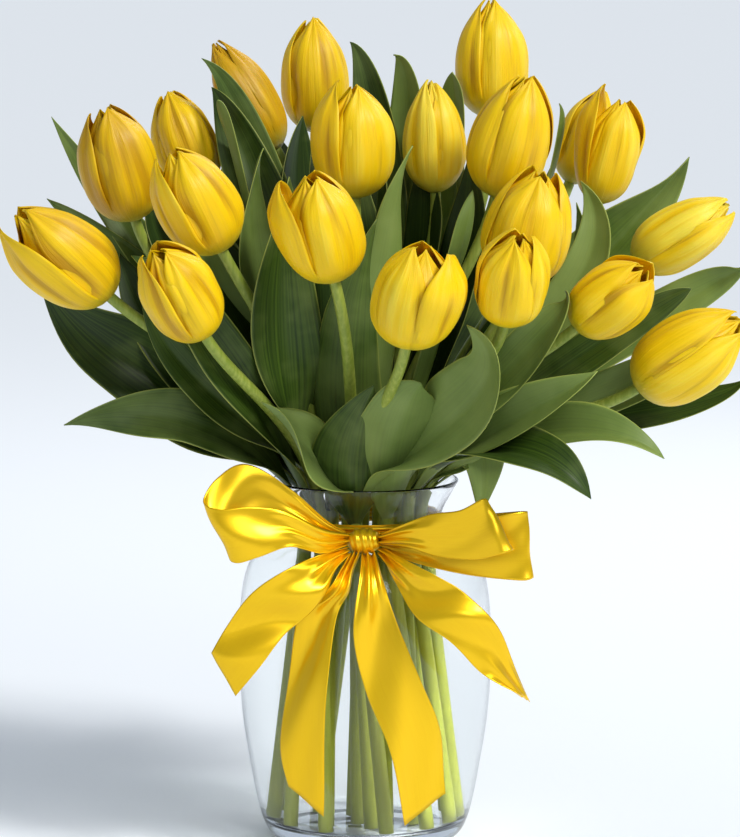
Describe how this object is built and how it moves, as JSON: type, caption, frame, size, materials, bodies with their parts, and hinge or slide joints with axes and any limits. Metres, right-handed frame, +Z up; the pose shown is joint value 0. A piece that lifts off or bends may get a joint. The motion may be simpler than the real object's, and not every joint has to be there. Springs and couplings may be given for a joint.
{
  "type": "bunch of tulips in a vase",
  "caption": "Bunch of closed yellow tulips with broad green leaves, standing in a clear glass vase of water with a double satin bow tied round its neck.",
  "frame": {"origin": "middle of the vase's flat foot, on the surface that it stands on", "axes": "+Z up; -Y towards the front, where the bow is tied; +X to the right as seen from the front"},
  "size_m": [0.3789, 0.3021, 0.4372],
  "materials": {
    "vase_glass": "clear, fire-polished",
    "water": "clear liquid",
    "stems_and_leaves": "waxy, satin",
    "petals": "silky",
    "satin_ribbon": "satin sheen"
  },
  "bodies": {
    "root": {"vase": "vase_glass", "water": "water", "leafy_stem_01": "stems_and_leaves", "bloom_01": "petals", "leafy_stem_02": "stems_and_leaves", "bloom_02": "petals", "leafy_stem_03": "stems_and_leaves", "bloom_03": "petals", "leafy_stem_04": "stems_and_leaves", "bloom_04": "petals", "leafy_stem_05": "stems_and_leaves", "bloom_05": "petals", "leafy_stem_06": "stems_and_leaves", "bloom_06": "petals", "leafy_stem_07": "stems_and_leaves", "bloom_07": "petals", "leafy_stem_08": "stems_and_leaves", "bloom_08": "petals", "leafy_stem_09": "stems_and_leaves", "bloom_09": "petals", "leafy_stem_10": "stems_and_leaves", "bloom_10": "petals", "leafy_stem_11": "stems_and_leaves", "bloom_11": "petals", "leafy_stem_12": "stems_and_leaves", "bloom_12": "petals", "leafy_stem_13": "stems_and_leaves", "bloom_13": "petals", "leafy_stem_14": "stems_and_leaves", "bloom_14": "petals", "leafy_stem_15": "stems_and_leaves", "bloom_15": "petals", "leafy_stem_16": "stems_and_leaves", "bloom_16": "petals", "leafy_stem_17": "stems_and_leaves", "bloom_17": "petals", "leafy_stem_18": "stems_and_leaves", "bloom_18": "petals", "leafy_stem_19": "stems_and_leaves", "bloom_19": "petals", "leafy_stem_20": "stems_and_leaves", "bloom_20": "petals", "ribbon_band": "satin_ribbon", "bow_knot": "satin_ribbon", "bow_loop_left": "satin_ribbon", "bow_loop_right": "satin_ribbon", "bow_loop_back": "satin_ribbon", "bow_tail_far_left": "satin_ribbon", "bow_tail_left": "satin_ribbon", "bow_tail_right": "satin_ribbon", "bow_tail_far_right": "satin_ribbon"}
  },
  "joints": []
}
